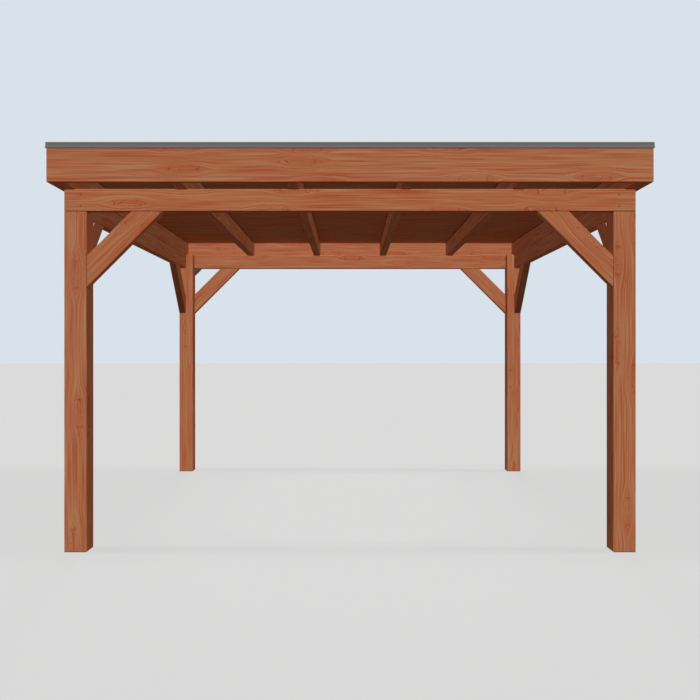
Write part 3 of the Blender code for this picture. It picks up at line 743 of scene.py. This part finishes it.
def roof_skin():
    """The rubber sheet over the deck, turned up at the fascias, with a folded ear in each corner."""
    low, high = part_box("roof_membrane")
    half_ply = SKIN_THICKNESS / 2
    sheet_low = low + Vector((half_ply, half_ply, half_ply))
    sheet_high = high - Vector((half_ply, half_ply, 0))
    shape = bmesh.new()
    turned_up_sheet(shape, sheet_low, sheet_high)
    for x, inward_x in ((sheet_low.x, 1), (sheet_high.x, -1)):
        for y, inward_y in ((sheet_low.y, 1), (sheet_high.y, -1)):
            add_ear(shape, Vector((x, y, sheet_low.z)), inward_x, inward_y)
    skin = make_piece("roof_skin", shape, roofing_rubber(), "roof_membrane")
    ply = skin.modifiers.new("ply", "SOLIDIFY")
    ply.thickness = SKIN_THICKNESS
    ply.offset = 0
    ply.use_even_offset = True
    flange_low, flange_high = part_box("rain_outlet")
    cut_box(skin, (flange_low.x - GAP, flange_low.y - SKIN_FILLET, flange_low.z - GAP / 2),
            (flange_high.x + GAP, high.y + SKIN_FILLET, flange_high.z - SKIN_OPENING_DROP))


roof_skin()

# Rainwater goods
pvc = rigid_pvc()
downpipe_low, downpipe_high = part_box("downpipe")
bends_low, bends_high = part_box("downpipe_bends")
hopper_low, hopper_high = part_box("rain_hopper")
pipe_axis = Matrix.Translation(((downpipe_low.x + downpipe_high.x) / 2,
                                (downpipe_low.y + downpipe_high.y) / 2, 0))
hopper_axis = Matrix.Translation(((hopper_low.x + hopper_high.x) / 2, (hopper_low.y + hopper_high.y) / 2, 0))
pipe_offset = (hopper_axis.translation - pipe_axis.translation).x
fixings = bmesh.new()


def downpipe():
    """The straight pipe, with a beaded socket at its head and a chamfered foot."""
    bottom, head = downpipe_low.z, downpipe_high.z
    seat = head - SOCKET_LENGTH
    bore = PIPE_RADIUS - PIPE_WALL
    socket_bore = PIPE_RADIUS + GAP
    socket = socket_bore + PIPE_WALL
    bead = socket + BEAD_RISE
    profile = ((socket, head), (bead, head - SOFT_EDGE), (bead, head - BEAD_HEIGHT),
               (socket, head - BEAD_HEIGHT - BEAD_RUNOUT), (socket, seat),
               (PIPE_RADIUS, seat - SOCKET_TAPER), (PIPE_RADIUS, bottom + SOFT_EDGE),
               (PIPE_RADIUS - SOFT_EDGE, bottom), (bore, bottom), (bore, seat - SOFT_EDGE),
               (socket_bore, seat), (socket_bore, head))
    shape = bmesh.new()
    turned(shape, profile, pipe_axis)
    make_piece("downpipe_tube", shape, pvc, "downpipe")


def leaning_circle(x, z, lean, radius):
    """A ring of the pipe's wall, square to where the pipe goes at a place in the plane of the bends."""
    turn = Matrix.Translation((x, 0, z)) @ Matrix.Rotation(lean, 4, "Y")
    return [turn @ point for point in circle(radius)]


def downpipe_bends():
    """Two 45 degree bends that meet in a collar on the sloping stretch."""
    tangent = BEND_RADIUS * tan(pi / 8)
    lower = bends_low.z + SOCKET_LENGTH
    upper = lower + pipe_offset + 2 * tangent
    arc = [radians(45) * step / BEND_STEPS for step in range(BEND_STEPS + 1)]
    foot = [(BEND_RADIUS * (1 - cos(lean)), lower + BEND_RADIUS * sin(lean), lean) for lean in arc]
    head = [(pipe_offset - BEND_RADIUS * (1 - cos(lean)), upper - BEND_RADIUS * sin(lean), lean)
            for lean in reversed(arc)]
    line = [(0, bends_low.z, 0), *foot, *head, (pipe_offset, bends_high.z, 0)]
    outer = [leaning_circle(*station, PIPE_RADIUS) for station in line]
    inner = [leaning_circle(*station, PIPE_RADIUS - PIPE_WALL) for station in reversed(line)]
    start, stop = Vector(foot[-1]), Vector(head[0])
    slope, edge = (stop.xy - start.xy).length, COLLAR_LENGTH / 2
    body_rise = COLLAR_RISE - BEAD_RISE
    collar = [leaning_circle(*start.lerp(stop, 0.5 + reach / slope), PIPE_RADIUS + rise)
              for reach, rise in ((-edge - COLLAR_RISE, 0), (-edge, COLLAR_RISE - COLLAR_EDGE),
                                  (SOFT_EDGE - edge, COLLAR_RISE), (COLLAR_LIP - edge, COLLAR_RISE),
                                  (COLLAR_LIP + SOFT_EDGE - edge, body_rise), (edge - SOFT_EDGE, body_rise),
                                  (edge + COLLAR_RISE, 0))]
    middle = 1 + len(foot)
    shape = bmesh.new()
    skin_rings(shape, outer[:middle] + collar + outer[middle:] + inner, closed=True, place=pipe_axis)
    make_piece("downpipe_offset", shape, pvc, "downpipe_bends")


def hopper_body(width, depth, rim, neck, socket):
    """Rings down the hopper's outside, from under its rim to the round neck."""
    shoulder = neck + FUNNEL_HEIGHT
    rings = [rounded_ring(width, depth, BOX_CORNER, rim - SOFT_EDGE),
             rounded_ring(width, depth, BOX_CORNER, shoulder + FUNNEL_SHOULDER)]
    for step in range(FUNNEL_STEPS + 1):
        share = step / FUNNEL_STEPS
        ease = share * share * (3 - 2 * share)
        ring_width = width + (2 * socket - width) * ease
        ring_depth = depth + (2 * socket - depth) * ease
        corner = BOX_CORNER + (socket - BOX_CORNER) * ease
        rings.append(rounded_ring(ring_width, ring_depth, corner, shoulder + (neck - shoulder) * share))
    return rings


def inside_of(point):
    """A point of the hopper's outside moved in by the wall. One on an axis keeps its place there."""
    moved = [c - copysign(PIPE_WALL, c) if abs(c) > PIPE_WALL else c for c in point.xy]
    return Vector((*moved, point.z))


def rain_hopper():
    """An open box with a thickened rim, drawn down to a round socket over the bends."""
    width, depth = hopper_high.x - hopper_low.x, hopper_high.y - hopper_low.y
    top, foot = hopper_high.z, hopper_low.z
    neck = bends_high.z + GAP
    rim = top - RIM_HEIGHT
    bore = PIPE_RADIUS + GAP
    socket = bore + PIPE_WALL
    bead = socket + BEAD_RISE
    body_width, body_depth = width - 2 * RIM_STEP, depth - 2 * RIM_STEP
    rim_rings = [rounded_ring(width - inset, depth - inset, RIM_CORNER - inset / 2, height)
                 for inset, height in ((SOFT_EDGE, top), (0, top - SOFT_EDGE), (0, rim + SOFT_EDGE),
                                       (SOFT_EDGE, rim))]
    body = hopper_body(body_width, body_depth, rim, neck, socket)
    foot_rings = [rounded_ring(2 * radius, 2 * radius, radius, height)
                  for radius, height in ((socket, foot + BEAD_HEIGHT + BEAD_RUNOUT),
                                         (bead, foot + BEAD_HEIGHT), (bead, foot + SOFT_EDGE),
                                         (socket, foot))]
    mouth = rounded_ring(body_width - 2 * PIPE_WALL, body_depth - 2 * PIPE_WALL,
                         BOX_CORNER - PIPE_WALL, top)
    hollow = [[inside_of(point) for point in ring] for ring in body]
    seat = [rounded_ring(2 * radius, 2 * radius, radius, height)
            for radius, height in ((PIPE_RADIUS - PIPE_WALL, neck), (bore, neck), (bore, foot))]
    shape = bmesh.new()
    skin_rings(shape, rim_rings + body + foot_rings + list(reversed([mouth] + hollow + seat)),
               closed=True, place=hopper_axis)
    make_piece("rain_head", shape, pvc, "rain_hopper")
    for side in (-1, 1):
        spot = hopper_axis @ Vector((side * HOPPER_SCREW_REACH, RIM_STEP + PIPE_WALL + GAP - depth / 2,
                                     rim - HOPPER_SCREW_DROP))
        add_screw(fixings, spot, BACK)


def rain_outlet():
    """A rounded spout through the fascia, with a flange up the turned-up skin and an apron on the deck."""
    low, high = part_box("rain_outlet")
    width, length = high.x - low.x, high.y - low.y
    middle_x = (low.x + high.x) / 2
    out = facing((middle_x, low.y, low.z + SPOUT_HEIGHT / 2), BACK)
    shape = bmesh.new()
    spout = [rounded_ring(SPOUT_WIDTH - 2 * inset, SPOUT_HEIGHT - 2 * inset, SPOUT_CORNER - inset, y)
             for inset, y in ((0, 0), (0, length), (SPOUT_WALL, length), (SPOUT_WALL, 0))]
    skin_rings(shape, spout, closed=True, place=out)
    flange_height = high.z - low.z
    lift = Vector((0, (flange_height - SPOUT_HEIGHT) / 2, 0))
    plate = [[point + lift for point in rounded_ring(width - inset, flange_height - inset, PLATE_CORNER, y)]
             for inset, y in ((SOFT_EDGE, 0), (0, SOFT_EDGE / 2), (0, SPOUT_WALL))]
    opening = [rounded_ring(SPOUT_WIDTH - SOFT_EDGE, SPOUT_HEIGHT - SOFT_EDGE,
                            SPOUT_CORNER - SOFT_EDGE / 2, y) for y in (SPOUT_WALL, 0)]
    skin_rings(shape, plate + opening, closed=True, place=out)
    round_plate(shape, width, APRON_DEPTH, PLATE_CORNER, SPOUT_WALL,
                Matrix.Translation((middle_x, low.y + SPOUT_WALL - APRON_DEPTH / 2, low.z)))
    make_piece("roof_outlet", shape, pvc, "rain_outlet")
    for side in (-1, 1):
        screw_x = middle_x + side * (width / 2 - FLANGE_SCREW_INSET)
        add_screw(fixings, (screw_x, low.y - GAP, high.z - FLANGE_SCREW_DROP), -BACK, SMALL_SCREW_RADIUS)
        add_screw(fixings, (screw_x, low.y - APRON_DEPTH + APRON_SCREW_INSET, low.z + SPOUT_WALL + GAP), UP,
                  SMALL_SCREW_RADIUS)


def add_ears(shape, at, reach):
    """Two ears on each side of the band's split, face to face, each with a hexagon bolt head."""
    bolt = ((CLIP_BOLT_RADIUS, 0), (CLIP_BOLT_RADIUS, CLIP_BOLT_HEIGHT - CLIP_BOLT_CHAMFER),
            (CLIP_BOLT_RADIUS - FINE_EDGE, CLIP_BOLT_HEIGHT))
    for side in (-1, 1):
        for front in (-1, 1):
            ear = at @ Matrix.Translation((side * reach, 0, 0)) @ facing((0, front * GAP, 0), front * BACK)
            round_plate(shape, CLIP_EAR_WIDTH, CLIP_EAR_HEIGHT, CLIP_EAR_CORNER, CLIP_WALL - GAP, ear)
            head = ear @ Matrix.Translation((0, 0, CLIP_WALL))
            turned(fixings, bolt, head, closed=False, sides=CLIP_BOLT_SIDES)


def add_rod(shape, at, plate_back, bore):
    """The round wall plate with its two screws, and the rod from it to the band."""
    plate = CLIP_PLATE_THICKNESS
    plate_edge = ((CLIP_PLATE_RADIUS, 0), (CLIP_PLATE_RADIUS, plate - SOFT_EDGE),
                  (CLIP_PLATE_RADIUS - SOFT_EDGE, plate))
    fillet = [(CLIP_ROD_RADIUS + out, plate + rise) for out, rise in CLIP_ROD_FILLET]
    rod_end = (CLIP_ROD_RADIUS, -plate_back - bore - CLIP_WALL / 2)
    turned(shape, (*plate_edge, *fillet, rod_end), at @ facing((0, plate_back, 0), BACK), closed=False)
    for side in (-1, 1):
        spot = at @ Vector((0, plate_back + plate + GAP, side * CLIP_SCREW_REACH))
        add_screw(fixings, spot, BACK, SMALL_SCREW_RADIUS)


def pipe_clip(node, name):
    """A two-part band with bolted ears, on a rod from a round plate screwed to the post."""
    low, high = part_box(node)
    at = pipe_axis @ Matrix.Translation((0, 0, (low.z + high.z) / 2))
    half, bore = CLIP_BAND_HEIGHT / 2, PIPE_RADIUS + GAP
    band = bore + CLIP_WALL
    shape = bmesh.new()
    turned(shape, ((bore, -half), (band - FINE_EDGE, -half), (band, FINE_EDGE - half),
                   (band, half - FINE_EDGE), (band - FINE_EDGE, half), (bore, half)), at)
    add_ears(shape, at, (band + high.x - pipe_axis.translation.x) / 2)
    add_rod(shape, at, low.y - pipe_axis.translation.y, bore)
    make_piece(name, shape, pvc, node)


downpipe()
downpipe_bends()
rain_hopper()
rain_outlet()
pipe_clip("upper_pipe_clip", "upper_clip")
pipe_clip("lower_pipe_clip", "lower_clip")
make_piece("pipe_fixings", fixings, zinc_steel())

# Camera
front_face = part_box("front_beam")[0].y
lens = bpy.data.cameras.new("camera")
lens.lens = LENS
lens.sensor_width = FILM_WIDTH
lens.shift_y = HORIZON_SHIFT
lens.clip_end = SIGHT_LIMIT
camera = bpy.data.objects.new("camera", lens)
camera.location = (0, front_face - CAMERA_DISTANCE, EYE_HEIGHT)
camera.rotation_euler = (radians(90), 0, 0)
bpy.context.scene.collection.objects.link(camera)
bpy.context.scene.camera = camera


# Light, floor and backdrop
def add_sun(name, travel, level, spread=0, colour=(1, 1, 1)):
    """A distant lamp that shines along travel. At level 1 a surface that faces it shows its own colour.

    One without spread is a fill: it throws no shadow and makes no bright spot.
    """
    lamp = bpy.data.lights.new(name, "SUN")
    lamp.energy = pi * level
    lamp.color = colour
    lamp.angle = radians(spread)
    lamp.use_shadow = spread > 0
    holder = bpy.data.objects.new(name, lamp)
    holder.visible_glossy = spread > 0
    holder.rotation_mode = "QUATERNION"
    holder.rotation_quaternion = Vector(travel).to_track_quat("-Z", "Y")
    bpy.context.scene.collection.objects.link(holder)


def in_sight(tree):
    """1 towards the camera, also in a reflection or through a clear piece, and 0 towards a lit surface."""
    path = add(tree, "LightPath", out="Is Camera Ray")
    seen = add(tree, "Math", [path, path.node.outputs["Is Glossy Ray"]], operation="MAXIMUM")
    return add(tree, "Math", [seen, path.node.outputs["Is Transmission Ray"]], operation="MAXIMUM")


def floor_finish():
    """A matt pale finish, steady to the camera and in reflections but for the cover's soft shadow."""
    material = bpy.data.materials.new("floor")
    material.use_nodes = True
    tree = material.node_tree
    tree.nodes.clear()
    pale = add(tree, "BsdfDiffuse", {"Color": FLOOR_DIFFUSE})
    glow = add(tree, "Emission", {"Color": linear(FLOOR_COLOUR), "Strength": FLOOR_GLOW})
    bright = add(tree, "AddShader", [pale, glow])
    dim = add(tree, "BsdfDiffuse", {"Color": FLOOR_BOUNCE})
    both = add(tree, "MixShader", [in_sight(tree), dim, bright])
    output = tree.nodes.new("ShaderNodeOutputMaterial")
    tree.links.new(both, output.inputs["Surface"])
    return material


def add_floor():
    """A plain pale floor."""
    shape = bmesh.new()
    near = camera.location.y - FLOOR_BEHIND
    far = camera.location.y + FLOOR_REACH
    for x, y in ((-1, near), (1, near), (1, far), (-1, far)):
        shape.verts.new((x * FLOOR_HALF_WIDTH, y, -FLOOR_GAP))
    shape.faces.new(shape.verts)
    mesh = bpy.data.meshes.new("floor")
    shape.to_mesh(mesh)
    shape.free()
    mesh.materials.append(floor_finish())
    floor = bpy.data.objects.new("floor", mesh)
    bpy.context.scene.collection.objects.link(floor)


def add_backdrop():
    """A pale blue backdrop to the camera and in reflections, and a low even fill for the surfaces."""
    world = bpy.data.worlds.new("studio")
    bpy.context.scene.world = world
    world.use_nodes = True
    tree = world.node_tree
    tree.nodes.clear()
    fill = add(tree, "Background", {"Color": (*FILL_COLOUR, 1), "Strength": AMBIENT_LEVEL})
    backdrop = add(tree, "Background", {"Color": linear(BACKDROP_COLOUR), "Strength": 1.0})
    both = add(tree, "MixShader", [in_sight(tree), fill, backdrop])
    output = tree.nodes.new("ShaderNodeOutputWorld")
    tree.links.new(both, output.inputs["Surface"])


add_floor()
add_backdrop()
add_sun("key", (0, 1, -KEY_DROP), KEY_LEVEL)
add_sun("rear", (0, -1, -REAR_DROP), REAR_LEVEL, REAR_SPREAD)
add_sun("rear_fill", (0, -1, 0), REAR_FILL)
add_sun("up_fill", (0, 0, 1), UP_FILL, colour=FILL_COLOUR)
for side_name, side, fill in (("left", -1, LEFT_FILL), ("right", 1, RIGHT_FILL)):
    add_sun(side_name + "_fill", (-side, 0, -FILL_DROP), fill, colour=FILL_COLOUR)
    add_sun(side_name, (-side, 0, -SIDE_DROP), SIDE_LEVEL, SIDE_SPREAD)

bpy.context.scene.view_settings.view_transform = "Standard"
